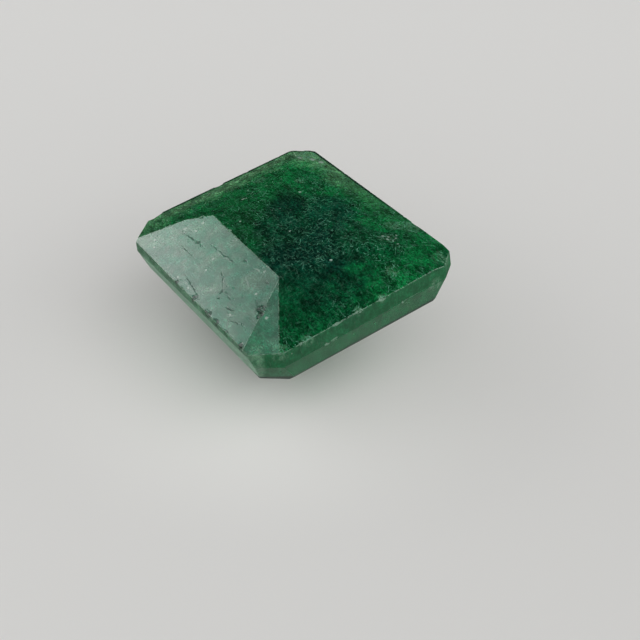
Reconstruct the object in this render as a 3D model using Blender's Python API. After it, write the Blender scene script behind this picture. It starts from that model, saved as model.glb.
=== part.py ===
"""Octagonal step-cut emerald, lying on the flat facet under its pavilion.

The stone is cut the way a lapidary cuts it: a block is ground flat, one facet at a time, until
only the gem is left.  Every facet is a plane given by its compass direction around the stone,
by how far its outward face leans over from straight up, and by its reach from the stone's axis
at one level.  The cutting frame has X along the stone, Y across it and Z out of the table, with
the upper edge of the girdle at level 0.  The finished stone is then tipped onto the facet that
it rests on.
"""

import math
import random
from collections import namedtuple

import bmesh
import bpy
from mathutils import Euler, Matrix, Vector

MM = 0.001

# Size of the stone
LENGTH = 17.0 * MM  # between the two short sides of the girdle
WIDTH = 13.46 * MM  # between the two long sides
CORNER_REACH = 9.92 * MM  # axis to the flat cut across a corner
CROWN_HEIGHT = 1.2 * MM  # girdle edge up to the table
GIRDLE_DEPTH = 0.95 * MM  # height of the nearly upright band
STEP_DEPTH = 1.25 * MM  # height of the steep first pavilion step
LOWER_DEPTH = 2.0 * MM  # height of the sloping pavilion tier under that step
BASE_DEPTH = 6.8 * MM  # girdle edge down to the base facet, on the stone's axis
RESTING_TILT = 11.0  # degrees between the table and the base facet that the stone rests on

# Compass directions of the eight sides, in degrees from +X towards +Y
DIRECTIONS = {
    "head": 0.0,
    "far": 90.0,
    "tail": 180.0,
    "near": 270.0,
    "head_near": 315.0,
    "head_far": 45.0,
    "tail_far": 135.0,
    "tail_near": 225.0,
}

# A tier is a ring of eight facets.  Its leans and its reaches are given for the two ends, the two
# long sides and the four corners; the reaches hold at the tier's upper level.
Tier = namedtuple("Tier", "name level leans reaches")

STEP_TOP = -GIRDLE_DEPTH
PAVILION_TOP = STEP_TOP - STEP_DEPTH
LOWER_TOP = PAVILION_TOP - LOWER_DEPTH
GIRDLE_REACHES = {"end": LENGTH / 2, "side": WIDTH / 2, "corner": CORNER_REACH}

TIERS = (
    Tier("crown", 0.0, {"end": 15.5, "side": 15.5, "corner": 16.0},
         {"end": LENGTH / 2, "side": WIDTH / 2, "corner": 9.7 * MM}),
    Tier("girdle", 0.0, {"end": 92.0, "side": 92.0, "corner": 92.0}, GIRDLE_REACHES),
    Tier("step", STEP_TOP, {"end": 98.0, "side": 100.0, "corner": 112.0}, GIRDLE_REACHES),
    Tier("pavilion", PAVILION_TOP, {"end": 139.0, "side": 121.0, "corner": 139.0},
         {"end": 8.3 * MM, "side": 6.4 * MM, "corner": 9.3 * MM}),
)
LOWER_LEANS = {"end": 144.0, "side": 136.0, "corner": 147.0}

# No facet is cut quite true: how far each is off around the compass, in lean and in reach.
Error = namedtuple("Error", "around over out")

CUT_TRUE = Error(0.0, 0.0, 0.0)
ERRORS = {
    "crown_head": Error(-0.6, 0.0, -0.03 * MM),
    "crown_tail": Error(0.4, -0.3, 0.03 * MM),
    "crown_near": Error(-1.0, 0.3, 0.0),
    "crown_head_near": Error(-2.0, -2.4, -0.02 * MM),
    "crown_head_far": Error(0.0, 0.0, -0.10 * MM),
    "crown_tail_far": Error(0.0, 0.0, 0.42 * MM),
    "crown_tail_near": Error(-2.9, -1.5, 0.03 * MM),
    "girdle_head": Error(0.5, 0.0, -0.03 * MM),
    "girdle_tail": Error(-0.3, 0.0, 0.03 * MM),
    "girdle_near": Error(0.0, -7.8, 0.0),
    "girdle_head_near": Error(5.2, -1.2, -0.01 * MM),
    "girdle_head_far": Error(-2.2, -2.0, 0.10 * MM),
    "girdle_tail_far": Error(-0.9, 0.0, -0.07 * MM),
    "girdle_tail_near": Error(-3.0, -8.0, -0.28 * MM),
    "step_head": Error(0.5, 0.0, -0.06 * MM),
    "step_far": Error(0.0, 0.0, -0.03 * MM),
    "step_tail": Error(-0.3, 0.0, 0.0),
    "step_near": Error(0.6, 4.3, -0.07 * MM),
    "step_head_near": Error(4.6, 0.0, 0.0),
    "step_head_far": Error(-6.0, 6.0, 0.16 * MM),
    "step_tail_far": Error(0.0, 0.0, -0.10 * MM),
    "step_tail_near": Error(-5.0, 0.0, -0.34 * MM),
    "pavilion_head": Error(0.0, 0.0, -0.06 * MM),
    "pavilion_far": Error(0.0, 0.0, 0.07 * MM),
    "pavilion_tail": Error(0.0, 0.0, 0.03 * MM),
    "pavilion_near": Error(0.0, 0.0, -0.06 * MM),
    "pavilion_head_near": Error(0.0, 0.0, 0.10 * MM),
    "pavilion_head_far": Error(0.0, 0.0, -0.12 * MM),
    "pavilion_tail_far": Error(0.0, 0.0, -0.10 * MM),
    "pavilion_tail_near": Error(0.0, 0.0, -0.10 * MM),
}

BLOCK_SIDE = 40.0 * MM
CUT_TOLERANCE = 1e-7

EMERALD_GREEN = (0.012, 0.155, 0.072, 1.0)
EMERALD_ROUGHNESS = 0.12
EMERALD_IOR = 1.577
EMERALD_TRANSMISSION = 0.75

# A chip breaks the edge between two facets.  Its station is measured along one axis of the
# cutting frame; its span is how much of the edge it takes, and its bite how deep it goes.
Chip = namedtuple("Chip", "facets axis station span bite")

CHIPS = (
    Chip(("crown_tail", "girdle_tail"), "Y", 0.10 * MM, 0.85 * MM, 0.20 * MM),
    Chip(("crown_tail", "girdle_tail"), "Y", 2.20 * MM, 0.55 * MM, 0.07 * MM),
    Chip(("crown_tail", "girdle_tail"), "Y", 4.60 * MM, 0.45 * MM, 0.06 * MM),
    Chip(("crown_tail_near", "girdle_tail_near"), "Y", -6.30 * MM, 0.40 * MM, 0.05 * MM),
    Chip(("crown_tail", "girdle_tail"), "Y", -4.85 * MM, 1.80 * MM, 0.32 * MM),
    Chip(("crown_tail", "crown_near"), "Y", -2.95 * MM, 0.45 * MM, 0.07 * MM),
    Chip(("table", "crown_near"), "X", -1.95 * MM, 0.30 * MM, 0.06 * MM),
    Chip(("table", "crown_near"), "X", 2.75 * MM, 0.36 * MM, 0.04 * MM),
    Chip(("crown_near", "crown_head_near"), "Y", -4.68 * MM, 0.42 * MM, 0.09 * MM),
    Chip(("crown_near", "girdle_near"), "X", 6.60 * MM, 0.42 * MM, 0.11 * MM),
    Chip(("crown_near", "girdle_near"), "X", 3.10 * MM, 0.34 * MM, 0.05 * MM),
    Chip(("crown_near", "girdle_near"), "X", -0.60 * MM, 0.40 * MM, 0.06 * MM),
    Chip(("crown_head", "girdle_head"), "Y", -4.05 * MM, 0.34 * MM, 0.08 * MM),
    Chip(("crown_head", "girdle_head"), "Y", -1.75 * MM, 0.70 * MM, 0.09 * MM),
    Chip(("crown_head", "girdle_head"), "Y", -0.20 * MM, 0.55 * MM, 0.12 * MM),
    Chip(("crown_head", "girdle_head"), "Y", 1.36 * MM, 0.60 * MM, 0.15 * MM),
    Chip(("crown_head", "girdle_head_far"), "Y", 5.45 * MM, 0.60 * MM, 0.12 * MM),
    Chip(("crown_far", "girdle_far"), "X", 4.05 * MM, 1.00 * MM, 0.13 * MM),
    Chip(("crown_far", "girdle_far"), "X", 2.95 * MM, 0.42 * MM, 0.07 * MM),
    Chip(("crown_far", "girdle_far"), "X", -3.60 * MM, 0.50 * MM, 0.06 * MM),
    Chip(("crown_tail_far", "girdle_tail_far"), "Y", 6.05 * MM, 0.80 * MM, 0.10 * MM),
)

# Small nicks are spread along the worn edges of the girdle and the pavilion.
NICKED_EDGES = (
    ("crown_head", "girdle_head", "Y"),
    ("crown_tail", "girdle_tail", "Y"),
    ("crown_near", "girdle_near", "X"),
    ("crown_far", "girdle_far", "X"),
    ("girdle_head", "step_head", "Y"),
    ("girdle_far", "step_far", "X"),
    ("step_tail", "pavilion_tail", "Y"),
    ("step_far", "pavilion_far", "X"),
)
NICKS_PER_EDGE = 3
NICK_ZONE = 4.6 * MM  # nicks lie within this distance of the middle of their edge
NICK_SPAN = (0.16 * MM, 0.32 * MM)
NICK_BITE = 0.16  # share of the span
NICK_SEED = 29

PEBBLE_SUBDIVISIONS = 2
PEBBLE_ROUGHNESS = 0.035  # share of the pebble's radius


def clear_scene():
    """Remove every object of the open file."""
    for thing in list(bpy.data.objects):
        bpy.data.objects.remove(thing)


def new_collection(name):
    """Make a collection and link it to the scene."""
    collection = bpy.data.collections.new(name)
    bpy.context.scene.collection.children.link(collection)
    return collection


def emerald_material():
    """Make the stone's green, glossy material."""
    material = bpy.data.materials.new("emerald_green")
    material.use_nodes = True
    shader = material.node_tree.nodes["Principled BSDF"]
    shader.inputs["Base Color"].default_value = EMERALD_GREEN
    shader.inputs["Roughness"].default_value = EMERALD_ROUGHNESS
    shader.inputs["Metallic"].default_value = 0.0
    shader.inputs["IOR"].default_value = EMERALD_IOR
    shader.inputs["Transmission Weight"].default_value = EMERALD_TRANSMISSION
    material.diffuse_color = EMERALD_GREEN
    return material


class Facets:
    """A block being cut, with the plane of each facet kept under its name."""

    def __init__(self):
        self.stone = bmesh.new()
        self.planes = {}
        bmesh.ops.create_cube(self.stone, size=BLOCK_SIDE)

    def cut(self, name, direction, lean, reach, level):
        """Grind one facet: a plane that leans over from straight up and faces a direction."""
        turn = math.radians(direction)
        tip = math.radians(lean)
        compass = Vector((math.cos(turn), math.sin(turn), 0.0))
        outward = compass * math.sin(tip) + Vector((0.0, 0.0, math.cos(tip)))
        point = compass * reach + Vector((0.0, 0.0, level))
        cut = bmesh.ops.bisect_plane(
            self.stone,
            geom=self.stone.verts[:] + self.stone.edges[:] + self.stone.faces[:],
            dist=CUT_TOLERANCE,
            plane_co=point,
            plane_no=outward,
            clear_outer=True,
        )
        rim = [piece for piece in cut["geom_cut"] if isinstance(piece, bmesh.types.BMEdge)]
        bmesh.ops.contextual_create(self.stone, geom=rim)
        self.planes[name] = (outward, outward.dot(point))

    def reach_at(self, name, level):
        """Find how far from the stone's axis a facet lies at a level."""
        outward, distance = self.planes[name]
        return (distance - outward.z * level) / outward.xy.length

    def edge_point(self, facets, axis, station):
        """Find the point of an edge between two facets at a station along an axis."""
        across = Vector((1.0, 0.0, 0.0)) if axis == "X" else Vector((0.0, 1.0, 0.0))
        (first, first_distance), (second, second_distance) = (self.planes[name] for name in facets)
        rows = Matrix((first, second, across))
        return rows.inverted() @ Vector((first_distance, second_distance, station))


def side_kind(side):
    """Say whether a side is an end, a long side or a corner."""
    if "_" in side:
        return "corner"
    return "end" if side in ("head", "tail") else "side"


def cut_tier(facets, tier):
    """Cut the eight facets of one tier."""
    for side, direction in DIRECTIONS.items():
        name = f"{tier.name}_{side}"
        error = ERRORS.get(name, CUT_TRUE)
        lean = tier.leans[side_kind(side)] + error.over
        reach = tier.reaches[side_kind(side)] + error.out
        facets.cut(name, direction + error.around, lean, reach, tier.level)


def cut_lower_pavilion(facets):
    """Cut the lowest tier, each of its facets starting where the one above it ends."""
    for side, direction in DIRECTIONS.items():
        reach = facets.reach_at(f"pavilion_{side}", LOWER_TOP)
        facets.cut(f"lower_{side}", direction, LOWER_LEANS[side_kind(side)], reach, LOWER_TOP)


def cut_stone(facets):
    """Cut the table, the tiers from the crown down, and the base that the stone rests on."""
    facets.cut("table", 0.0, 0.0, 0.0, CROWN_HEIGHT)
    for tier in TIERS:
        cut_tier(facets, tier)
    cut_lower_pavilion(facets)
    facets.cut("base", DIRECTIONS["near"], 180.0 - RESTING_TILT, 0.0, -BASE_DEPTH)


def random_nicks():
    """Spread small nicks over the worn edges."""
    luck = random.Random(NICK_SEED)
    nicks = []
    for first, second, axis in NICKED_EDGES:
        for _ in range(NICKS_PER_EDGE):
            span = luck.uniform(*NICK_SPAN)
            station = luck.uniform(-NICK_ZONE, NICK_ZONE)
            nicks.append(Chip((first, second), axis, station, span, span * NICK_BITE))
    return nicks


def add_pebble(cutters, facets, chip, luck):
    """Add the rough ball that breaks one chip out of an edge."""
    radius = (chip.span ** 2 / 4 + chip.bite ** 2) / (2 * chip.bite)
    outward = sum((facets.planes[name][0] for name in chip.facets), Vector()).normalized()
    centre = facets.edge_point(chip.facets, chip.axis, chip.station) + outward * (radius - chip.bite)
    turn = Euler([luck.uniform(0.0, math.tau) for _ in range(3)]).to_matrix().to_4x4()
    ball = bmesh.ops.create_icosphere(
        cutters,
        subdivisions=PEBBLE_SUBDIVISIONS,
        radius=radius,
        matrix=Matrix.Translation(centre) @ turn,
    )
    for vertex in ball["verts"]:
        vertex.co += (vertex.co - centre) * luck.uniform(-PEBBLE_ROUGHNESS, PEBBLE_ROUGHNESS)


def make_chip_cutters(facets, collection):
    """Make one hidden object with a rough ball for every chip and nick."""
    luck = random.Random(NICK_SEED)
    cutters = bmesh.new()
    for chip in list(CHIPS) + random_nicks():
        add_pebble(cutters, facets, chip, luck)
    mesh = bpy.data.meshes.new("chip_cutters")
    cutters.to_mesh(mesh)
    cutters.free()
    cutter = bpy.data.objects.new("chip_cutters", mesh)
    cutter.display_type = "WIRE"
    cutter.hide_render = True
    collection.objects.link(cutter)
    return cutter


def make_stone(facets, cutter, collection):
    """Turn the cut block into the emerald and break the chips out of its edges."""
    mesh = bpy.data.meshes.new("emerald")
    facets.stone.to_mesh(mesh)
    mesh.materials.append(emerald_material())
    stone = bpy.data.objects.new("emerald", mesh)
    collection.objects.link(stone)
    breakage = stone.modifiers.new("chips", "BOOLEAN")
    breakage.operation = "DIFFERENCE"
    breakage.solver = "EXACT"
    breakage.use_self = True
    breakage.object = cutter
    return stone


def lay_down(stone, cutter, collection):
    """Tip the stone onto its resting facet, centred over the origin."""
    pose = bpy.data.objects.new("resting_pose", None)
    pose.empty_display_size = LENGTH / 4
    collection.objects.link(pose)
    tip = Matrix.Rotation(math.radians(RESTING_TILT), 4, "X")
    corners = [tip @ vertex.co for vertex in stone.data.vertices]
    middle = [(min(c[axis] for c in corners) + max(c[axis] for c in corners)) / 2 for axis in (0, 1)]
    lowest = min(corner.z for corner in corners)
    pose.rotation_euler = (math.radians(RESTING_TILT), 0.0, 0.0)
    pose.location = (-middle[0], -middle[1], -lowest)
    stone.parent = pose
    cutter.parent = pose


def build():
    """Build the emerald."""
    clear_scene()
    parts = new_collection("Cut emerald")
    tools = new_collection("Cutters")
    facets = Facets()
    cut_stone(facets)
    cutter = make_chip_cutters(facets, tools)
    stone = make_stone(facets, cutter, parts)
    facets.stone.free()
    lay_down(stone, cutter, parts)


build()
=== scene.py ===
import math

import bmesh
import bpy
from mathutils import Matrix, Vector


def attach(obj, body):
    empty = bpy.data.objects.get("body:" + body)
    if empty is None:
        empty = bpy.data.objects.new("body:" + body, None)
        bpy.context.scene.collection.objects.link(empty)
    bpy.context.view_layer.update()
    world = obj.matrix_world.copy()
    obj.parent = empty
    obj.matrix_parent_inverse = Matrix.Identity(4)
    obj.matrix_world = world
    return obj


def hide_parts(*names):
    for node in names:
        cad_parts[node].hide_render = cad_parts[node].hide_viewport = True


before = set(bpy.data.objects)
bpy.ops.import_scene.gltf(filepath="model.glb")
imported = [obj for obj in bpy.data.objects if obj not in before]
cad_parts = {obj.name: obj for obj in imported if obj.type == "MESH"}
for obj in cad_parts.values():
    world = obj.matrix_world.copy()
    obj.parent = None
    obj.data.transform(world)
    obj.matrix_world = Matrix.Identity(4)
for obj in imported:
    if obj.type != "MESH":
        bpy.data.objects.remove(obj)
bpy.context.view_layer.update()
mm = 0.001
tilt = math.radians(11.0)  # the stone lies this far out of level
stoneMiddle = Vector((0.020, -0.085, 6.675)) * mm  # centre of the girdle's upper edge
turned = Matrix.Rotation(tilt, 4, "X")

print("frame loaded")


# Node helpers

def addNode(tree, kind, **settings):
    made = tree.nodes.new(kind)
    for name, value in settings.items():
        setattr(made, name, value)
    return made


def feed(tree, target, source):
    if isinstance(source, bpy.types.NodeSocket):
        tree.links.new(source, target)
    else:
        target.default_value = source


def calc(tree, operation, first, second=0.0, third=0.0, clamp=False):
    made = addNode(tree, "ShaderNodeMath", operation=operation, use_clamp=clamp)
    feed(tree, made.inputs[0], first)
    feed(tree, made.inputs[1], second)
    feed(tree, made.inputs[2], third)
    return made.outputs[0]


def fade(tree, value, start, end, low=0.0, high=1.0):
    made = addNode(tree, "ShaderNodeMapRange", interpolation_type="SMOOTHSTEP")
    feed(tree, made.inputs["Value"], value)
    feed(tree, made.inputs["From Min"], start)
    feed(tree, made.inputs["From Max"], end)
    feed(tree, made.inputs["To Min"], low)
    feed(tree, made.inputs["To Max"], high)
    return made.outputs["Result"]


def blend(tree, factor, first, second, kind="MIX"):
    made = addNode(tree, "ShaderNodeMix", data_type="RGBA", blend_type=kind)
    feed(tree, made.inputs[0], factor)
    feed(tree, made.inputs[6], first)
    feed(tree, made.inputs[7], second)
    return made.outputs[2]


def grain(tree, place, scale, detail=3.0, roughness=0.5, distortion=0.0):
    made = addNode(tree, "ShaderNodeTexNoise")
    feed(tree, made.inputs["Vector"], place)
    made.inputs["Scale"].default_value = scale
    made.inputs["Detail"].default_value = detail
    made.inputs["Roughness"].default_value = roughness
    made.inputs["Distortion"].default_value = distortion
    return made.outputs["Fac"]


def cells(tree, place, scale):
    made = addNode(tree, "ShaderNodeTexVoronoi")
    feed(tree, made.inputs["Vector"], place)
    made.inputs["Scale"].default_value = scale
    return made


def placed(tree, place, move=(0.0, 0.0, 0.0), turn=(0.0, 0.0, 0.0), stretch=(1.0, 1.0, 1.0)):
    made = addNode(tree, "ShaderNodeMapping")
    feed(tree, made.inputs["Vector"], place)
    made.inputs["Location"].default_value = move
    made.inputs["Rotation"].default_value = turn
    made.inputs["Scale"].default_value = stretch
    return made.outputs["Vector"]


def ball(tree, place, centre, radius):
    # 1 at the centre, 0 past the radius
    away = addNode(tree, "ShaderNodeVectorMath", operation="DISTANCE")
    feed(tree, away.inputs[0], place)
    away.inputs[1].default_value = centre
    return fade(tree, away.outputs["Value"], radius, 0.0)


# Camera

cameraSetup = {
    "place": (57.25 * mm, -33.04 * mm, 45.54 * mm),
    "towardCamera": (0.7054, -0.4370, 0.5580),
    "lens": 72.15,
    "sensor": 36.0,
    "near": 1.0 * mm,
    "far": 20.0,
}


def makeCamera():
    data = bpy.data.cameras.new("camera")
    data.lens = cameraSetup["lens"]
    data.sensor_width = cameraSetup["sensor"]
    data.clip_start = cameraSetup["near"]
    data.clip_end = cameraSetup["far"]
    camera = bpy.data.objects.new("camera", data)
    camera.location = cameraSetup["place"]
    aim = -Vector(cameraSetup["towardCamera"])
    camera.rotation_euler = aim.to_track_quat("-Z", "Y").to_euler()
    bpy.context.scene.collection.objects.link(camera)
    bpy.context.scene.camera = camera


makeCamera()
print("camera placed")


# Lights and floor

lampSetup = {
    "softbox": {
        "compass": -157.0,  # degrees round from the X axis
        "above": 36.0,  # degrees above the floor
        "distance": 0.60,
        "width": 0.38,
        "height": 0.69,
        "radiance": 4.1,
        "upperShare": 0.178,  # how much of it the upper half gives
    },
    "backWindow": {
        "compass": 48.0,
        "above": 30.0,
        "distance": 0.80,
        "width": 0.50,
        "height": 0.40,
        "radiance": 1.6,
        "upperShare": 1.0,
    },
    "sideWindow": {
        "compass": -52.0,
        "above": 24.0,
        "distance": 0.80,
        "width": 0.36,
        "height": 0.30,
        "radiance": 0.8,
        "upperShare": 1.0,
    },
}
lampSlant = -0.24  # the bright part ends on a slant
lampEdge = (0.53, 0.38)  # where it ends, as shares of the height


def makeLamp(name, compass, above, distance, width, height, radiance, upperShare):
    data = bpy.data.lights.new(name, "AREA")
    data.shape = "RECTANGLE"
    data.size = width
    data.size_y = height
    data.energy = radiance * math.pi * width * height
    data.use_nodes = True
    tree = data.node_tree
    across = addNode(tree, "ShaderNodeSeparateXYZ")
    feed(tree, across.inputs[0], addNode(tree, "ShaderNodeNewGeometry").outputs["Parametric"])
    slanted = calc(tree, "MULTIPLY_ADD", across.outputs[0], lampSlant, across.outputs[1])
    glow = fade(tree, slanted, *lampEdge, upperShare, 1.0)
    feed(tree, tree.nodes["Emission"].inputs["Strength"], glow)
    lamp = bpy.data.objects.new(name, data)
    lamp.visible_diffuse = False  # it shows only as a glint, the room lights the rest
    lamp.visible_transmission = name == "softbox"
    level = math.cos(math.radians(above))
    direction = Vector((
        math.cos(math.radians(compass)) * level,
        math.sin(math.radians(compass)) * level,
        math.sin(math.radians(above)),
    ))
    lamp.location = direction * distance
    lamp.rotation_euler = direction.to_track_quat("Z", "Y").to_euler()
    bpy.context.scene.collection.objects.link(lamp)


# light that comes in low from every side of the room: direction and strength
roomSides = {
    "front": ((0.80, -0.50, 0.34), 1.36),
    "frontRight": ((0.88, 0.32, 0.34), 0.97),
    "right": ((0.49, 0.80, 0.34), 1.25),
    "left": ((-0.49, -0.80, 0.34), 1.0),
    "backLeft": ((-0.88, -0.32, 0.34), 0.42),
}
roomSetup = {
    "colour": (1.0, 1.0, 0.99, 1.0),
    "focus": 3.0,
    "glint": 0.012,  # what the room shows in polished faces
}


def makeWorld():
    world = bpy.data.worlds.new("studio")
    world.use_nodes = True
    tree = world.node_tree
    tree.nodes.clear()
    ray = addNode(tree, "ShaderNodeLightPath")
    glint = calc(tree, "MAXIMUM", ray.outputs["Is Glossy Ray"], ray.outputs["Is Transmission Ray"])
    direction = addNode(tree, "ShaderNodeTexCoord").outputs["Generated"]
    total = 0.0
    for side, strength in roomSides.values():
        facing = addNode(tree, "ShaderNodeVectorMath", operation="DOT_PRODUCT")
        feed(tree, facing.inputs[0], direction)
        facing.inputs[1].default_value = side
        seen = calc(tree, "MAXIMUM", facing.outputs["Value"], 0.0)
        lobe = calc(tree, "POWER", seen, roomSetup["focus"])
        total = calc(tree, "MULTIPLY_ADD", lobe, strength, total)
    light = addNode(tree, "ShaderNodeBackground")
    light.inputs["Color"].default_value = roomSetup["colour"]
    dimmed = calc(tree, "MULTIPLY", calc(tree, "SUBTRACT", 1.0, glint), total)
    brightness = calc(tree, "MULTIPLY_ADD", glint, roomSetup["glint"], dimmed)
    feed(tree, light.inputs["Strength"], brightness)
    out = addNode(tree, "ShaderNodeOutputWorld")
    tree.links.new(light.outputs[0], out.inputs["Surface"])
    bpy.context.scene.world = world


floorSetup = {
    "size": 3.0,
    "near": (0.755, 0.750, 0.740, 1.0),
    "far": (0.850, 0.845, 0.835, 1.0),
    "towardFar": (-0.73, 0.68, 0.0),
    "reach": (-0.03, 0.07),  # how far the painted light gradient takes to change
    "paintedLightPool": (0.880, 0.872, 0.855, 1.0),  # painted light: lighter around the stone, to lighten its shadow
    "paintedLightMiddle": (0.0, -0.001, 0.0),
    "paintedLightReach": (0.019, 0.006),
    "roughness": 0.55,
}


def floorMaterial():
    material = bpy.data.materials.new("paleFloor")
    material.use_nodes = True
    tree = material.node_tree
    shader = tree.nodes["Principled BSDF"]
    place = addNode(tree, "ShaderNodeTexCoord").outputs["Object"]
    # painted light: darker near the camera and lighter far off, for light that falls unevenly on
    # the floor
    away = addNode(tree, "ShaderNodeVectorMath", operation="DOT_PRODUCT")
    feed(tree, away.inputs[0], place)
    away.inputs[1].default_value = floorSetup["towardFar"]
    distance = fade(tree, away.outputs["Value"], *floorSetup["reach"])
    paintedLightTone = blend(tree, distance, floorSetup["near"], floorSetup["far"])
    # painted light: a lighter pool around the stone that lightens the stone's shadow
    fromStone = addNode(tree, "ShaderNodeVectorMath", operation="DISTANCE")
    feed(tree, fromStone.inputs[0], place)
    fromStone.inputs[1].default_value = floorSetup["paintedLightMiddle"]
    paintedLightShare = fade(tree, fromStone.outputs["Value"], *floorSetup["paintedLightReach"])
    feed(tree, shader.inputs["Base Color"], blend(tree, paintedLightShare, paintedLightTone, floorSetup["paintedLightPool"]))
    shader.inputs["Roughness"].default_value = floorSetup["roughness"]
    return material


def makeFloor():
    bm = bmesh.new()
    bmesh.ops.create_grid(bm, x_segments=2, y_segments=2, size=floorSetup["size"] / 2)
    mesh = bpy.data.meshes.new("floor")
    bm.to_mesh(mesh)
    bm.free()
    mesh.materials.append(floorMaterial())
    floor = bpy.data.objects.new("floor", mesh)
    bpy.context.scene.collection.objects.link(floor)


for lampName, facts in lampSetup.items():
    makeLamp(lampName, **facts)
makeWorld()
makeFloor()
bpy.context.scene.view_settings.view_transform = "Standard"
print("lights and floor made")


# The stone

stoneCut = {
    "weld": 0.001 * mm,
    "flat": math.radians(0.4),  # triangles closer than this in angle are one facet again
    "facetArea": 0.4 * mm ** 2,  # anything smaller is part of a chip
    "wornWidth": 0.05 * mm,  # how wide the edges are rubbed flat
    "wornLeast": math.radians(4.0),  # flatter edges stay sharp
    "cutTolerance": 1e-9,
    "girdleNear": 0.25,  # mm from the girdle's upper edge
    "girdleBand": (-1.02, -0.05),  # mm, as cut
    "upright": 0.3,  # how far a facet's normal leans, at most, on an upright band
    "halfPolished": 0.45,  # how matt the near side's step is, against the ground band
    "undercut": -0.6,  # normals that lean down further belong to the sloping tiers
    "reflectingStep": (-0.9, -0.1),  # how far its normal points to the near side, and down
    "sheenSide": (0.25, -0.97, 0.0),
    "sheenLean": (0.13, 0.25),  # how far facets lean to that side where the painted sheen begins and is full
    "crownUp": 0.9,  # the crown's normals point up at least this much
}
wearLevels = {
    "facet": 0.0,
    "rubbedEdge": 0.10,
    "girdleEdge": 0.6,
    "chip": 0.8,
}


def asCut(point):
    # a point in millimetres, in the frame that the stone was cut in
    return turned.inverted() @ (point - stoneMiddle) / mm


def outwardAsCut(outward):
    # a direction in that same frame
    return turned.inverted().to_3x3() @ outward


def groundShare(face):
    # 1 on the nearly upright band, which was ground and not polished; less on the near step
    low, high = stoneCut["girdleBand"]
    normal = outwardAsCut(face.normal)
    if abs(normal.z) < stoneCut["upright"] and low < asCut(face.calc_center_median()).z < high:
        return 1.0
    onNearStep = normal.y < -stoneCut["upright"] and stoneCut["undercut"] < normal.z < 0.0
    return stoneCut["halfPolished"] if onNearStep else 0.0


def paintedReflectionShare(face):
    # 1 on the first step under the girdle's near side, which is painted paler: a painted reflection
    # of the floor that it faces at a grazing angle
    normal = outwardAsCut(face.normal)
    near, down = stoneCut["reflectingStep"]
    return 1.0 if normal.y < near and normal.z < down else 0.0


def paintedSheenOf(outward):
    # painted sheen: the crown's facets that face the near side are painted milky, standing in for
    # the softbox's reflection and the light they give back
    normal = outwardAsCut(outward)
    if normal.z <= stoneCut["crownUp"]:
        return 0.0
    low, high = stoneCut["sheenLean"]
    share = (normal.dot(Vector(stoneCut["sheenSide"])) - low) / (high - low)
    return min(max(share, 0.0), 1.0)


def facetPairs(bm):
    # the facets that meet, each pair once, with a point of their edge
    pairs = {}
    for edge in bm.edges:
        if len(edge.link_faces) != 2:
            continue
        first, second = edge.link_faces
        if min(first.calc_area(), second.calc_area()) < stoneCut["facetArea"]:
            continue
        if first.normal.angle(second.normal) < stoneCut["wornLeast"]:
            continue
        key = tuple(sorted((first.index, second.index)))
        longest = pairs.get(key)
        if longest is None or edge.calc_length() > longest[0]:
            middle = (edge.verts[0].co + edge.verts[1].co) / 2
            pairs[key] = (edge.calc_length(), middle, first.normal.copy(), second.normal.copy())
    return list(pairs.values())


def wearOf(height, first, second):
    # how frosted an edge is: most at the girdle and around the painted-sheen facets, where the
    # frost is also a painted highlight for the bevel's glint
    if abs(height) < stoneCut["girdleNear"]:
        return wearLevels["girdleEdge"]
    if max(paintedSheenOf(first), paintedSheenOf(second)) > 0.5:
        return wearLevels["girdleEdge"]
    return wearLevels["rubbedEdge"] if height > 0.0 else wearLevels["facet"]


def wearEdge(bm, worn, middle, first, second):
    # take a thin sliver off along one edge and close the cut
    outward = (first + second).normalized()
    depth = stoneCut["wornWidth"] / 2 * math.tan(first.angle(second) / 2)
    cut = bmesh.ops.bisect_plane(
        bm,
        geom=bm.verts[:] + bm.edges[:] + bm.faces[:],
        dist=stoneCut["cutTolerance"],
        plane_co=middle - outward * depth,
        plane_no=outward,
        clear_outer=True,
    )
    rim = [piece for piece in cut["geom_cut"] if isinstance(piece, bmesh.types.BMEdge)]
    openRim = [edge for edge in rim if edge.is_boundary]
    level = wearOf(asCut(middle).z, first, second)
    for face in bmesh.ops.holes_fill(bm, edges=openRim, sides=0)["faces"]:
        face[worn] = level


def makeStone():
    bm = bmesh.new()
    bm.from_mesh(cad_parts["emerald"].data)
    bmesh.ops.remove_doubles(bm, verts=bm.verts[:], dist=stoneCut["weld"])
    bmesh.ops.dissolve_limit(bm, angle_limit=stoneCut["flat"], verts=bm.verts[:], edges=bm.edges[:])
    bm.faces.index_update()
    worn = bm.faces.layers.float.new("worn")
    for face in bm.faces:
        chipped = face.calc_area() < stoneCut["facetArea"]
        face[worn] = wearLevels["chip"] if chipped else wearLevels["facet"]
    for _, middle, first, second in facetPairs(bm):
        wearEdge(bm, worn, middle, first, second)
    bmesh.ops.recalc_face_normals(bm, faces=bm.faces[:])
    wear = bm.loops.layers.float.new("wear")
    ground = bm.loops.layers.float.new("ground")
    paintedSheenShare = bm.loops.layers.float.new("paintedSheenShare")
    pale = bm.loops.layers.float.new("pale")
    for face in bm.faces:
        unpolished = groundShare(face)
        sheenShare = paintedSheenOf(face.normal)
        paled = paintedReflectionShare(face)
        for corner in face.loops:
            corner[wear] = face[worn]
            corner[ground] = unpolished
            corner[paintedSheenShare] = sheenShare
            corner[pale] = paled
    bm.faces.layers.float.remove(bm.faces.layers.float["worn"])
    bmesh.ops.triangulate(bm, faces=bm.faces[:])
    print("stone faces", len(bm.faces), "open edges", sum(not e.is_manifold for e in bm.edges))
    mesh = bpy.data.meshes.new("emeraldStone")
    bm.to_mesh(mesh)
    bm.free()
    stone = bpy.data.objects.new("emeraldStone", mesh)
    bpy.context.scene.collection.objects.link(stone)
    return stone


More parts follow.
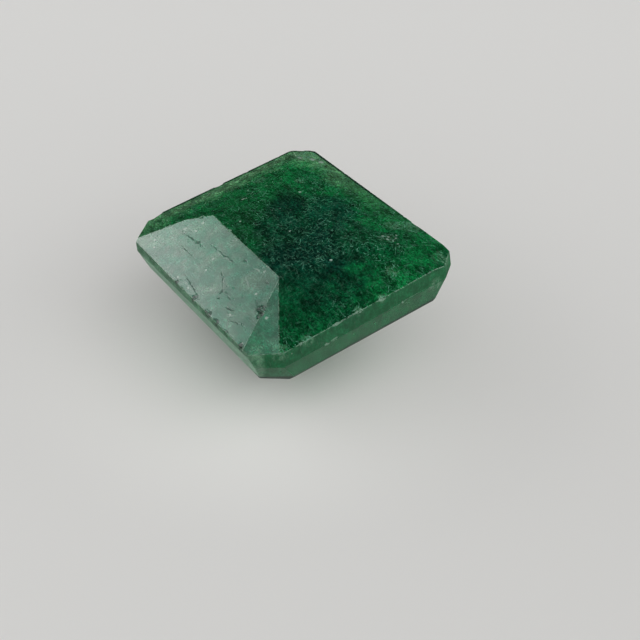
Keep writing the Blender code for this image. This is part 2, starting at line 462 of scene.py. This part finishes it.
emeraldLook = {
    "ior": 1.577,
    "specular": 0.32,
    "transmission": 0.6,
    "absorbed": (0.02, 0.55, 0.22, 1.0),  # the colour that deep stone lets through
    "density": 260.0,  # to the metre
    "body": (0.006, 0.225, 0.060, 1.0),
    "teal": (0.003, 0.085, 0.048, 1.0),
    "dusk": (0.003, 0.058, 0.036, 1.0),
    "deep": (0.003, 0.090, 0.034, 1.0),
    "moss": (0.005, 0.085, 0.026, 1.0),
    "smoke": (0.006, 0.050, 0.026, 1.0),
    # painted light: the pale glow along the far edges of the crown
    "rim": (0.230, 0.560, 0.270, 1.0),
    # painted sheen: milk and haze on the crown's near facets stand in for their reflection
    "paintedSheen": (0.020, 0.330, 0.190, 1.0),
    "paintedSheenHaze": (0.200, 0.420, 0.290, 1.0),
    "side": (0.010, 0.190, 0.070, 1.0),
    "silk": (0.170, 0.600, 0.370, 1.0),
    "glint": (0.270, 0.720, 0.500, 1.0),
    "cotton": (0.300, 0.640, 0.400, 1.0),
    "fleck": (0.600, 0.800, 0.680, 1.0),
    # frost on worn edges and chips, light enough to be a painted highlight for their glint too
    "frostAndGlint": (0.380, 0.660, 0.480, 1.0),
    "nearGirdle": (0.165, 0.400, 0.235, 1.0),
    # painted reflection: the pale of the floor that the near step mirrors
    "paintedFloorReflection": (0.280, 0.620, 0.400, 1.0),
    # painted shade: dark of the thin shade lines, also the dark of the cracks and crumbled spots
    "paintedShadeAndCrackDark": (0.008, 0.030, 0.022, 1.0),
    "pitRoughness": 0.4,
    "frostRoughness": 0.35,
    "crackRoughness": 0.6,
    "groundRoughness": 0.95,
    "zoneEdge": (1.05, 0.45),  # where a colour zone begins and is full, as shares of its reach
    "zoneUneven": 1.2,
    "rimEdge": (0.72, 0.90),  # the same for the painted glow along the rim, as shares of the outline
    "rimUneven": 0.5,
    "outline": (8.5, 6.73, 14.03),  # mm from the middle to an end, a side and a corner
    "crownEdge": (-0.06, 0.0),  # mm, as cut, like those below: the side ends and the crown begins
    "crumbledEdge": (-0.40, -0.20),
    "nearSide": (-6.0, -6.3),
    "stepBottom": -2.2,
    "farShadeLine": (0.962, 0.980),  # the same for the thin painted shade line along the far edges
    "lowShadeLine": (0.20, 0.13),  # mm over the bottom of the step, for the painted shade line there
    "headSide": (6.3, 6.8),
}
# how much each layer of colour covers what is under it
emeraldCover = {
    "paintedSheen": 0.85,
    "side": 0.7,
    "rim": 0.85,
    "cotton": 0.85,
    "threads": 0.65,
    "paleCracks": 0.4,
    "darkCracks": 0.7,
    "dark": 0.9,
    "sheenHides": 0.6,  # how much of the clouds and the silk the painted sheen hides
    "quietHides": 0.7,
    "sideClouds": 0.5,  # clouds on the sides, against those on the crown
    "sideSilk": 0.1,
}
# polishing pits: how many to the mm, their radius and the share that shows
pitting = {"scale": 1.5, "radius": 0.09, "share": 0.7}
# heights in the bump, negative ones go in
emeraldRelief = {
    "strength": 0.6,
    "distance": 0.01 * mm,
    "lines": -0.5,
    "crossLines": -0.4,
    "pits": -2.2,
    "grit": 5.0,
    "cracks": -2.0,
    "crumbled": -8.0,
}
# noises that make things patchy: how the pattern lies, how many to the mm, and the noise levels
# where it starts and is full, with what it gives there if that isn't 0 and 1
patchiness = {
    "slowClouds": {
        "move": (2.0, 9.0, 4.0), "turn": -1.0, "stretch": (1.0, 1.7, 1.5),
        "scale": 0.9, "detail": 3.0, "roughness": 0.6, "levels": (0.3, 0.7, 0.5, 1.5),
    },
    "quickClouds": {
        "move": (1.0, 4.0, 2.0), "turn": 0.6, "stretch": (1.0, 1.4, 1.4),
        "scale": 2.4, "detail": 3.0, "roughness": 0.65, "levels": (0.3, 0.7, 0.7, 1.3),
    },
    "pebbles": {
        "move": (1.0, 4.0, 2.0), "turn": 0.6, "stretch": (1.0, 1.4, 1.4),
        "scale": 7.0, "detail": 1.0, "roughness": 0.5, "levels": (0.3, 0.7, 0.5, 1.5),
    },
    "silk": {
        "move": (4.0, 1.0, 6.0),
        "scale": 0.6, "detail": 3.0, "roughness": 0.6, "levels": (0.34, 0.62, 0.55, 0.90),
    },
    "cotton": {
        "move": (0.0, 3.0, 0.0), "stretch": (1.0, 1.4, 1.0),
        "scale": 3.0, "detail": 6.0, "roughness": 0.85, "distortion": 0.4, "levels": (0.44, 0.66),
    },
    # the painted sheen's haze
    "paintedSheenHaze": {
        "move": (7.0, 3.0, 1.0),
        "scale": 0.8, "detail": 4.0, "roughness": 0.6, "distortion": 0.4,
        "levels": (0.42, 0.66, 0.0, 0.7),
    },
    "paleNearPatches": {
        "move": (6.0, 2.0, 9.0),
        "scale": 2.2, "detail": 4.0, "roughness": 0.7, "levels": (0.38, 0.58, 0.35, 1.0),
    },
    "brokenCracks": {"scale": 4.5, "detail": 2.0, "levels": (0.34, 0.48, 0.1, 0.8)},
    "crumbs": {"scale": 8.0, "detail": 2.0, "levels": (0.40, 0.54)},
    "frostAndGlint": {"scale": 3.2, "detail": 4.0, "roughness": 0.7, "levels": (0.38, 0.56)},
    "polish": {
        "stretch": (0.4, 1.6, 1.0),
        "scale": 0.9, "detail": 3.0, "levels": (0.3, 0.7, 0.05, 0.13),  # gives roughness
    },
    "lines": {
        "turn": 0.12, "stretch": (0.35, 9.0, 9.0),
        "scale": 1.0, "detail": 3.0, "roughness": 0.6, "levels": (0.66, 0.74),
    },
    "crossLines": {
        "move": (5.0, 2.0, 0.0), "turn": 1.05, "stretch": (0.25, 12.0, 12.0),
        "scale": 1.0, "detail": 2.0, "roughness": 0.6, "levels": (0.70, 0.76),
    },
}
# how the body's green drifts: colour, place and reach in mm, as cut, and how strong
colourZones = (
    ("dusk", (3.4, -0.6, 1.1), (5.4, 4.2, 6.0), 1.0),
    ("moss", (-1.6, -0.6, 1.2), (4.0, 3.2, 6.0), 0.9),
    ("teal", (0.4, 3.0, 1.0), (3.0, 2.2, 6.0), 0.9),
    ("smoke", (-1.9, 1.7, 1.2), (1.7, 1.4, 6.0), 0.9),
    ("dusk", (-1.4, 1.3, 1.2), (1.8, 1.5, 6.0), 0.6),
    ("dusk", (0.2, 1.5, 1.2), (2.6, 1.7, 6.0), 0.75),
    ("dusk", (-0.1, -0.3, 1.2), (1.8, 1.5, 6.0), 0.6),
    ("deep", (7.2, -0.5, 0.4), (1.5, 1.7, 6.0), 0.5),
    ("deep", (6.2, -2.6, 0.5), (3.6, 3.6, 6.0), 0.65),
    ("deep", (4.9, 2.9, 0.8), (2.5, 2.4, 6.0), 0.75),
    ("deep", (-3.4, 4.4, 0.7), (1.9, 1.4, 6.0), 0.6),
)
# silk threads: the way they run, their length and width in mm, and how few there are
threadLayers = (
    (math.radians(-5.0), 0.45, 0.080, 0.600),
    (math.radians(24.0), 0.50, 0.085, 0.610),
    (math.radians(83.0), 0.42, 0.100, 0.610),
    (math.radians(120.0), 0.45, 0.095, 0.600),
)
threadEdge = 0.11  # how softly the threads begin
# single needles: shift, how many to the mm, length, width, share that shows
needleLayers = (
    ((3.3, 1.7, 0.4), 2.9, 0.20, 0.050, 0.45),
    ((5.2, 8.3, 1.1), 1.9, 0.32, 0.046, 0.38),
    ((7.1, 4.9, 2.2), 1.0, 0.70, 0.046, 0.35),
)
# specks: shift, how many to the mm, radius, share that shows
speckLayers = (
    ((0.3, 0.9, 8.0), 2.4, 0.060, 0.50),
    ((5.3, 2.9, 1.0), 3.8, 0.048, 0.60),
    ((1.3, 6.2, 5.0), 5.6, 0.038, 0.60),
)
# where less silk shows: place and reach in mm, as cut
quietZones = (
    ((6.2, -2.8, 0.5), (2.6, 2.8, 6.0)),
    ((-2.0, 1.7, 1.2), (1.5, 1.2, 6.0)),
    ((7.2, 5.2, 0.2), (1.2, 1.0, 6.0)),
    ((6.6, 0.8, 0.5), (2.4, 2.0, 6.0)),
)
# milky patches close under the surface: place and radius in mm, as cut
cottonPatches = (
    ((-6.9, 5.9, 0.2), 1.3),
    ((-5.9, 6.2, 0.1), 0.8),
    ((4.8, 4.3, 0.7), 0.8),
    ((4.2, 6.3, 0.1), 1.1),
    ((3.6, 5.5, 0.3), 0.9),
    ((7.8, 6.0, 0.0), 0.9),
    ((7.2, 2.9, 0.4), 0.6),
    ((-6.0, 1.9, 0.7), 0.8),
    ((-4.1, -3.4, 1.0), 0.9),
    ((-5.5, -5.9, 0.2), 1.0),
    ((-0.9, -4.3, 0.7), 0.7),
    ((1.2, -5.6, 0.3), 0.8),
    ((2.7, -3.9, 0.8), 0.9),
    ((4.0, -5.9, 0.3), 0.6),
    ((8.4, 1.4, 0.0), 0.45),
    ((8.4, -0.2, 0.0), 0.45),
    ((-3.8, 3.6, 0.9), 0.5),
    ((7.3, -6.2, -0.2), 0.9),
    ((8.1, -5.2, -0.2), 0.8),
    ((8.5, -3.6, -0.1), 0.6),
    ((8.4, 4.9, -1.0), 0.7),
)
# single white flecks: place in mm, as cut, and radius
flecks = (
    (-4.33, -0.16, 1.14, 0.15),
    (-4.20, 0.02, 1.14, 0.10),
    (4.68, 0.54, 1.05, 0.10),
    (0.76, 0.19, 1.20, 0.09),
    (-2.44, 2.83, 1.08, 0.13),
    (-2.30, -1.50, 1.20, 0.09),
    (2.93, -2.82, 1.12, 0.08),
    (-5.82, -5.85, 0.22, 0.12),
    (-4.12, -3.16, 0.99, 0.12),
    (-4.78, -4.14, 0.71, 0.16),
    (-3.94, -3.79, 0.81, 0.12),
    (-5.30, -6.20, 0.12, 0.10),
    (-2.87, -6.47, 0.06, 0.09),
    (-0.47, -5.04, 0.48, 0.09),
    (-1.61, -6.43, 0.08, 0.09),
    (-0.24, -6.47, 0.07, 0.11),
    (-0.85, -4.31, 0.68, 0.12),
    (1.21, -5.65, 0.31, 0.10),
    (3.95, -4.10, 0.76, 0.12),
    (3.92, -5.90, 0.25, 0.11),
    (2.94, -2.90, 1.10, 0.10),
    (-6.75, 5.30, 0.20, 0.32),
    (-6.20, 5.90, 0.15, 0.26),
    (-5.60, 6.20, 0.15, 0.22),
    (5.95, -4.62, 0.54, 0.14),
    (6.35, -6.57, 0.07, 0.15),
    (4.50, 4.20, 0.70, 0.10),
    (4.72, 4.42, 0.64, 0.09),
    (4.95, 4.22, 0.70, 0.11),
    (5.25, 4.40, 0.65, 0.08),
    (5.65, 4.45, 0.63, 0.10),
    (5.05, 4.72, 0.56, 0.08),
    (4.75, 4.95, 0.50, 0.07),
    (7.45, -6.30, -0.15, 0.08),
    (7.15, -6.55, -0.30, 0.08),
    (8.20, -5.50, -0.25, 0.09),
    (8.35, -5.20, -0.55, 0.08),
    (8.45, -4.70, -0.35, 0.08),
    (8.45, -4.10, -0.15, 0.07),
)
# dark lines in the crown's near side: place in mm, as cut, way they run in degrees, length, width
darkCracks = (
    (-3.5, -4.27, 4.0, 3.1, 0.13),
    (-2.9, -4.20, 20.0, 0.40, 0.25),
    (-2.95, -5.0, -3.0, 1.9, 0.10),
    (-0.5, -3.72, 4.0, 3.9, 0.13),
    (1.05, -4.70, -27.0, 1.7, 0.11),
    (1.97, -5.40, -62.0, 0.80, 0.11),
    (0.0, -6.30, -9.0, 3.2, 0.11),
    (2.55, -5.24, 0.0, 1.1, 0.11),
    (3.56, -5.68, 8.0, 1.0, 0.13),
    (4.8, -5.95, 18.0, 1.4, 0.11),
    (4.6, -4.48, -13.0, 1.0, 0.12),
    (3.8, -3.26, -14.0, 0.70, 0.14),
    (1.19, -3.12, 0.0, 0.30, 0.20),
    (2.21, -5.74, 30.0, 0.30, 0.20),
)
# crumbled spots along the near edges and then pale lines, given the same way
crumbledSpots = (
    (5.20, -4.52, 25.0, 0.75, 0.75),
    (5.50, -4.75, -70.0, 0.65, 0.55),
    (0.80, -6.66, 0.0, 0.55, 0.50),
    (2.60, -6.66, 0.0, 0.90, 0.45),
    (3.60, -6.68, 0.0, 0.80, 0.35),
    (4.70, -6.68, 0.0, 0.60, 0.30),
    (6.40, -6.62, 0.0, 0.50, 0.50),
    (-1.40, -6.70, 0.0, 0.40, 0.30),
)
paleCracks = (
    (-4.4, -3.95, 15.0, 1.6, 0.16),
    (-0.4, -3.85, 6.0, 2.4, 0.12),
    (2.6, -3.90, -22.0, 1.3, 0.16),
    (-0.5, -6.42, -4.0, 1.6, 0.13),
    (2.4, -3.05, 6.0, 0.9, 0.14),
    (3.9, -5.90, 25.0, 0.8, 0.16),
)


def cutPlace(tree):
    # millimetres in the frame that the stone was cut in, level with its table
    place = addNode(tree, "ShaderNodeTexCoord").outputs["Object"]
    shift = -(turned.inverted() @ stoneMiddle) / mm
    return placed(tree, place, shift, (-tilt, 0.0, 0.0), (1 / mm, 1 / mm, 1 / mm))


def patchy(tree, place, name):
    # one of the noises of the patchiness table
    recipe = patchiness[name]
    turn = (0.0, 0.0, recipe.get("turn", 0.0))
    stretch = recipe.get("stretch", (1.0, 1.0, 1.0))
    moved = placed(tree, place, recipe.get("move", (0.0, 0.0, 0.0)), turn, stretch)
    roughness = recipe.get("roughness", 0.5)
    distortion = recipe.get("distortion", 0.0)
    cloud = grain(tree, moved, recipe["scale"], recipe["detail"], roughness, distortion)
    return fade(tree, cloud, *recipe["levels"])


def needles(tree, place, scale, length, width, share):
    # one short fine needle in each cell, turned its own way
    cell = cells(tree, place, scale)
    local = addNode(tree, "ShaderNodeVectorMath", operation="SUBTRACT")
    feed(tree, local.inputs[0], place)
    feed(tree, local.inputs[1], cell.outputs["Position"])
    luck = addNode(tree, "ShaderNodeSeparateColor")
    feed(tree, luck.inputs[0], cell.outputs["Color"])
    spin = addNode(tree, "ShaderNodeVectorRotate", rotation_type="Z_AXIS")
    feed(tree, spin.inputs["Vector"], local.outputs["Vector"])
    feed(tree, spin.inputs["Angle"], calc(tree, "MULTIPLY", luck.outputs[0], math.pi))
    axes = addNode(tree, "ShaderNodeSeparateXYZ")
    feed(tree, axes.inputs[0], spin.outputs[0])
    along = fade(tree, calc(tree, "ABSOLUTE", axes.outputs[0]), length / 2, length / 3)
    across = fade(tree, calc(tree, "ABSOLUTE", axes.outputs[1]), width / 2, width / 5)
    chosen = fade(tree, luck.outputs[1], 1.0 - share, 1.0)
    return calc(tree, "MULTIPLY", calc(tree, "MULTIPLY", along, across), chosen)


def bent(tree, place, scale, reach):
    # the same place pushed about gently, so that nothing runs quite straight
    push = addNode(tree, "ShaderNodeTexNoise")
    feed(tree, push.inputs["Vector"], place)
    push.inputs["Scale"].default_value = scale
    made = addNode(tree, "ShaderNodeVectorMath", operation="MULTIPLY_ADD")
    feed(tree, made.inputs[0], push.outputs["Color"])
    made.inputs[1].default_value = (reach, reach, 0.0)
    feed(tree, made.inputs[2], place)
    return placed(tree, made.outputs["Vector"], (-reach / 2, -reach / 2, 0.0))


def threads(tree, place, turn, length, width, few):
    # fine threads of every strength that run one way
    made = addNode(tree, "ShaderNodeMapping", vector_type="TEXTURE")
    feed(tree, made.inputs["Vector"], place)
    made.inputs["Location"].default_value = (turn, 2.0, turn)  # a different part for each way
    made.inputs["Rotation"].default_value = (0.0, 0.0, turn)
    made.inputs["Scale"].default_value = (length, width, length)
    strands = grain(tree, made.outputs["Vector"], 1.0, detail=2.0, roughness=0.5)
    return fade(tree, strands, few, few + threadEdge)


def streak(tree, place, x, y, turn, length, width):
    # one line that tapers to both ends: 1 along its middle
    made = addNode(tree, "ShaderNodeMapping", vector_type="TEXTURE")
    feed(tree, made.inputs["Vector"], place)
    made.inputs["Location"].default_value = (x, y, 0.0)
    made.inputs["Rotation"].default_value = (0.0, 0.0, turn)
    made.inputs["Scale"].default_value = (length / 2, width * 0.42, 100.0)  # at any depth
    away = addNode(tree, "ShaderNodeVectorMath", operation="LENGTH")
    feed(tree, away.inputs[0], made.outputs["Vector"])
    return fade(tree, away.outputs["Value"], 1.0, 0.5)


def streakMask(tree, place, streaks):
    total = 0.0
    for x, y, degrees, length, width in streaks:
        line = streak(tree, place, x, y, math.radians(degrees), length, width)
        total = calc(tree, "MAXIMUM", line, total)
    return total


def dots(tree, place, scale, radius, share):
    # one round speck in some of the cells
    cell = cells(tree, place, scale)
    luck = addNode(tree, "ShaderNodeSeparateColor")
    feed(tree, luck.inputs[0], cell.outputs["Color"])
    near = fade(tree, cell.outputs["Distance"], radius * scale, radius * scale / 2)
    return calc(tree, "MULTIPLY", near, fade(tree, luck.outputs[2], 1.0 - share, 1.0))


def greyOf(tree, value):
    made = addNode(tree, "ShaderNodeCombineColor")
    for channel in range(3):
        feed(tree, made.inputs[channel], value)
    return made.outputs[0]


def oval(tree, place, centre, reach):
    # 0 at the centre, 1 at the reach along each axis
    away = addNode(tree, "ShaderNodeVectorMath", operation="SUBTRACT")
    feed(tree, away.inputs[0], place)
    away.inputs[1].default_value = centre
    shrunk = addNode(tree, "ShaderNodeVectorMath", operation="DIVIDE")
    feed(tree, shrunk.inputs[0], away.outputs[0])
    shrunk.inputs[1].default_value = reach
    length = addNode(tree, "ShaderNodeVectorMath", operation="LENGTH")
    feed(tree, length.inputs[0], shrunk.outputs[0])
    return length.outputs["Value"]


def bodyColour(tree, place):
    # emerald green with a dark, cooler heart and a brownish shadow beside it
    look = emeraldLook
    colour = look["body"]
    uneven = look["zoneUneven"]
    drift = grain(tree, place, 0.55, detail=3.0, roughness=0.6, distortion=0.3)
    for name, centre, reach, strength in colourZones:
        length = oval(tree, place, centre, reach)
        ragged = calc(tree, "ADD", length, calc(tree, "MULTIPLY_ADD", drift, uneven, -uneven / 2))
        zone = fade(tree, ragged, *look["zoneEdge"], 0.0, strength)
        colour = blend(tree, zone, colour, look[name])
    return colour


def mottling(tree, place):
    # cloudy at three sizes, around 1
    total = patchy(tree, place, "slowClouds")
    total = calc(tree, "MULTIPLY", total, patchy(tree, place, "quickClouds"))
    return calc(tree, "MULTIPLY", total, patchy(tree, place, "pebbles"))


def outlineShare(tree, axes):
    # 0 on the stone's axis, 1 at the girdle
    end, side, corner = emeraldLook["outline"]
    alongX = calc(tree, "ABSOLUTE", axes.outputs[0])
    alongY = calc(tree, "ABSOLUTE", axes.outputs[1])
    ends = calc(tree, "DIVIDE", alongX, end)
    sides = calc(tree, "DIVIDE", alongY, side)
    corners = calc(tree, "DIVIDE", calc(tree, "ADD", alongX, alongY), corner)
    return calc(tree, "MAXIMUM", calc(tree, "MAXIMUM", ends, sides), corners)


def farSide(tree, axes):
    # 0 on the near half, 1 along the two far sides
    towardTail = calc(tree, "MULTIPLY", axes.outputs[0], -0.6)
    slope = calc(tree, "MULTIPLY_ADD", axes.outputs[1], 0.5, towardTail)
    return fade(tree, slope, -1.0, 4.0)


def rimMask(tree, place, axes, share):
    # painted light: a milky band just inside the far sides of the crown's outline, strongest at the
    # tail, for the light that the thin far edges let through
    streaky = placed(tree, place, stretch=(1.0, 0.45, 1.0))
    cloud = grain(tree, streaky, 1.6, detail=5.0, roughness=0.7, distortion=0.3)
    uneven = emeraldLook["rimUneven"]
    wavy = calc(tree, "ADD", share, calc(tree, "MULTIPLY_ADD", cloud, uneven, -uneven / 2))
    atTail = fade(tree, axes.outputs[0], 1.0, -7.0, 0.25, 1.0)
    onCrown = fade(tree, axes.outputs[2], -0.08, 0.02)
    shown = calc(tree, "MULTIPLY", calc(tree, "MULTIPLY", atTail, onCrown), farSide(tree, axes))
    return calc(tree, "MULTIPLY", fade(tree, wavy, *emeraldLook["rimEdge"]), shown)


def paintedShadeLineMask(tree, axes, share):
    # painted shade: thin dark lines where the far edges and the step's lower edge turn away
    look = emeraldLook
    onCrown = fade(tree, axes.outputs[2], -0.12, -0.02)
    seenFar = calc(tree, "MULTIPLY", farSide(tree, axes), onCrown)
    far = calc(tree, "MULTIPLY", fade(tree, share, *look["farShadeLine"]), seenFar)
    start, full = look["lowShadeLine"]
    low = fade(tree, axes.outputs[2], look["stepBottom"] + start, look["stepBottom"] + full)
    atHead = fade(tree, axes.outputs[0], *look["headSide"])
    return calc(tree, "MAXIMUM", far, calc(tree, "MULTIPLY", low, atHead))


def patchMask(tree, place):
    total = 0.0
    for middle, radius in cottonPatches:
        total = calc(tree, "MAXIMUM", ball(tree, place, middle, radius), total)
    return total


def fleckMask(tree, place):
    wobble = grain(tree, place, 9.0, detail=2.0, roughness=0.6)
    total = 0.0
    for x, y, z, radius in flecks:
        total = calc(tree, "MAXIMUM", ball(tree, place, (x, y, z), radius * 1.5), total)
    return fade(tree, calc(tree, "MULTIPLY", total, wobble), 0.15, 0.40)


def quietMask(tree, place):
    total = 0.0
    for centre, reach in quietZones:
        zone = fade(tree, oval(tree, place, centre, reach), 1.1, 0.6)
        total = calc(tree, "MAXIMUM", zone, total)
    return total


def silkMask(tree, place, patches):
    # soft threads, and sharp needles and specks, thicker in some places than in others
    quiet = calc(tree, "MULTIPLY_ADD", quietMask(tree, place), -emeraldCover["quietHides"], 1.0)
    amount = calc(tree, "MULTIPLY_ADD", patchy(tree, place, "silk"), quiet, patches)
    wandering = bent(tree, place, 0.9, 0.35)
    curled = bent(tree, place, 2.4, 0.16)
    soft = 0.0
    for turn, length, width, few in threadLayers:
        strands = threads(tree, wandering, turn, length, width, few)
        soft = calc(tree, "MAXIMUM", strands, soft)
    soft = calc(tree, "MULTIPLY", soft, emeraldCover["threads"])
    sharp = 0.0
    for move, scale, length, width, share in needleLayers:
        fine = needles(tree, placed(tree, curled, move), scale, length, width, share)
        sharp = calc(tree, "MAXIMUM", fine, sharp)
    for move, scale, radius, share in speckLayers:
        specks = dots(tree, placed(tree, place, move), scale, radius, share)
        sharp = calc(tree, "MAXIMUM", specks, sharp)
    soft = calc(tree, "MULTIPLY", soft, amount, clamp=True)
    sharp = calc(tree, "MULTIPLY", sharp, amount, clamp=True)
    return soft, sharp


def cottonMask(tree, place, patches):
    inPatch = fade(tree, patches, 0.05, 0.7)
    return calc(tree, "MULTIPLY", patchy(tree, place, "cotton"), inPatch)


def polishHeight(tree, place, pits):
    # fine polishing lines along and across the stone, and a few pits
    relief = emeraldRelief
    height = calc(tree, "MULTIPLY", pits, relief["pits"])
    height = calc(tree, "MULTIPLY_ADD", patchy(tree, place, "lines"), relief["lines"], height)
    crossLines = patchy(tree, place, "crossLines")
    return calc(tree, "MULTIPLY_ADD", crossLines, relief["crossLines"], height)


def faceValue(tree, name):
    return addNode(tree, "ShaderNodeAttribute", attribute_name=name).outputs["Fac"]


def sideShare(tree, onCrown, share):
    # 1 on the crown, the given share on the sides
    return calc(tree, "MULTIPLY_ADD", onCrown, 1.0 - share, share)


def bodyWithPaintedSheen(tree, place, paintedSheenShare):
    # the body's green, with painted sheen (milk and haze) on the crown's near side
    look = emeraldLook
    paintedSheen = calc(tree, "MULTIPLY", paintedSheenShare, emeraldCover["paintedSheen"])
    colour = blend(tree, paintedSheen, bodyColour(tree, place), look["paintedSheen"])
    sheenHazy = calc(tree, "MULTIPLY", patchy(tree, place, "paintedSheenHaze"), paintedSheenShare)
    return blend(tree, sheenHazy, colour, look["paintedSheenHaze"])


def withSides(tree, place, axes, onCrown, colour):
    # one green on the sides, with paler patches along the near one, and the near step's painted
    # floor reflection
    look = emeraldLook
    offCrown = calc(tree, "SUBTRACT", 1.0, onCrown)
    greened = calc(tree, "MULTIPLY", offCrown, emeraldCover["side"])
    colour = blend(tree, greened, colour, look["side"])
    atNear = calc(tree, "MULTIPLY", fade(tree, axes.outputs[1], *look["nearSide"]), offCrown)
    paleNearPatches = calc(tree, "MULTIPLY", atNear, patchy(tree, place, "paleNearPatches"))
    colour = blend(tree, paleNearPatches, colour, look["nearGirdle"])
    return blend(tree, faceValue(tree, "pale"), colour, look["paintedFloorReflection"])


def withInclusions(tree, place, onCrown, cloudy, colour):
    # cotton-like patches, silk and white flecks
    look = emeraldLook
    patches = patchMask(tree, place)
    cotton = calc(tree, "MULTIPLY", cottonMask(tree, place, patches), emeraldCover["cotton"])
    colour = blend(tree, cotton, colour, look["cotton"])
    shown = calc(tree, "MULTIPLY", sideShare(tree, onCrown, emeraldCover["sideSilk"]), cloudy)
    soft, sharp = silkMask(tree, place, patches)
    colour = blend(tree, calc(tree, "MULTIPLY", soft, shown), colour, look["silk"])
    colour = blend(tree, calc(tree, "MULTIPLY", sharp, shown), colour, look["glint"])
    return blend(tree, fleckMask(tree, place), colour, look["fleck"])


def crackMasks(tree, place, axes, onCrown):
    # pale and dark lines on the crown, and the crumbled spots at its near edges
    ragged = bent(tree, bent(tree, place, 0.9, 0.3), 5.0, 0.24)
    pale = streakMask(tree, ragged, paleCracks)
    broken = calc(tree, "MULTIPLY", patchy(tree, place, "brokenCracks"), onCrown)
    dark = calc(tree, "MULTIPLY", streakMask(tree, ragged, darkCracks), broken)
    nearEdge = fade(tree, axes.outputs[2], *emeraldLook["crumbledEdge"])
    crumbs = calc(tree, "MULTIPLY", patchy(tree, place, "crumbs"), nearEdge)
    crumbled = calc(tree, "MULTIPLY", streakMask(tree, ragged, crumbledSpots), crumbs)
    return pale, dark, crumbled


def stoneRoughness(tree, place, pits, frostedAndGlinting, cracks):
    look = emeraldLook
    polished = patchy(tree, place, "polish")
    rough = calc(tree, "MULTIPLY_ADD", pits, look["pitRoughness"], polished)
    rough = calc(tree, "MULTIPLY_ADD", frostedAndGlinting, look["frostRoughness"], rough)
    rough = calc(tree, "MULTIPLY_ADD", cracks, look["crackRoughness"], rough)
    ground = faceValue(tree, "ground")
    return calc(tree, "MULTIPLY_ADD", ground, look["groundRoughness"], rough)


def stoneRelief(tree, place, pits, frostedAndGlinting, cracks, crumbled):
    relief = emeraldRelief
    grit = calc(tree, "MULTIPLY", frostedAndGlinting, grain(tree, place, 14.0, detail=2.0))
    height = polishHeight(tree, place, pits)
    height = calc(tree, "MULTIPLY_ADD", grit, relief["grit"], height)
    height = calc(tree, "MULTIPLY_ADD", cracks, relief["cracks"], height)
    height = calc(tree, "MULTIPLY_ADD", crumbled, relief["crumbled"], height)
    bump = addNode(tree, "ShaderNodeBump")
    bump.inputs["Strength"].default_value = relief["strength"]
    bump.inputs["Distance"].default_value = relief["distance"]
    feed(tree, bump.inputs["Height"], height)
    return bump.outputs["Normal"]


def emeraldMaterial():
    look = emeraldLook
    material = bpy.data.materials.new("emeraldGlass")
    material.use_nodes = True
    tree = material.node_tree
    shader = tree.nodes["Principled BSDF"]
    out = tree.nodes["Material Output"]
    place = cutPlace(tree)
    axes = addNode(tree, "ShaderNodeSeparateXYZ")
    feed(tree, axes.inputs[0], place)
    share = outlineShare(tree, axes)
    paintedSheenShare = faceValue(tree, "paintedSheenShare")
    onCrown = fade(tree, axes.outputs[2], *look["crownEdge"])
    cloudy = calc(tree, "MULTIPLY_ADD", paintedSheenShare, -emeraldCover["sheenHides"], 1.0)
    pits = dots(tree, placed(tree, place, (2.0, 2.0, 2.0)), **pitting)
    paleLines, cracks, crumbled = crackMasks(tree, place, axes, onCrown)
    frostedAndGlinting = calc(tree, "MULTIPLY", faceValue(tree, "wear"), patchy(tree, place, "frostAndGlint"))

    colour = withSides(tree, place, axes, onCrown, bodyWithPaintedSheen(tree, place, paintedSheenShare))
    # painted light: the pale glow along the far edges
    rim = calc(tree, "MULTIPLY", rimMask(tree, place, axes, share), emeraldCover["rim"])
    colour = blend(tree, rim, colour, look["rim"])
    clouds = calc(tree, "MULTIPLY", sideShare(tree, onCrown, emeraldCover["sideClouds"]), cloudy)
    colour = blend(tree, clouds, colour, greyOf(tree, mottling(tree, place)), "MULTIPLY")
    colour = withInclusions(tree, place, onCrown, cloudy, colour)
    paled = calc(tree, "MULTIPLY", paleLines, emeraldCover["paleCracks"])
    colour = blend(tree, paled, colour, look["fleck"])
    # frost on worn edges and chips, partly a painted highlight of their glint
    colour = blend(tree, frostedAndGlinting, colour, look["frostAndGlint"])
    darkCrack = calc(tree, "MULTIPLY", cracks, emeraldCover["darkCracks"])
    # painted shade lines share one dark with the dark cracks and crumbled spots
    dark = calc(tree, "MAXIMUM", paintedShadeLineMask(tree, axes, share), darkCrack)
    dark = calc(tree, "MAXIMUM", dark, crumbled)
    dark = calc(tree, "MULTIPLY", dark, emeraldCover["dark"])
    feed(tree, shader.inputs["Base Color"], blend(tree, dark, colour, look["paintedShadeAndCrackDark"]))

    rough = stoneRoughness(tree, place, pits, frostedAndGlinting, cracks)
    feed(tree, shader.inputs["Roughness"], rough)
    relief = stoneRelief(tree, place, pits, frostedAndGlinting, cracks, crumbled)
    feed(tree, shader.inputs["Normal"], relief)
    shader.inputs["IOR"].default_value = look["ior"]
    shader.inputs["Specular IOR Level"].default_value = look["specular"]
    shader.inputs["Transmission Weight"].default_value = look["transmission"]
    inside = addNode(tree, "ShaderNodeVolumeAbsorption")
    inside.inputs["Color"].default_value = look["absorbed"]
    inside.inputs["Density"].default_value = look["density"]
    tree.links.new(inside.outputs[0], out.inputs["Volume"])
    return material


stone = makeStone()
stone.data.materials.append(emeraldMaterial())
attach(stone, "root")
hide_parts("emerald")
print("stone made")
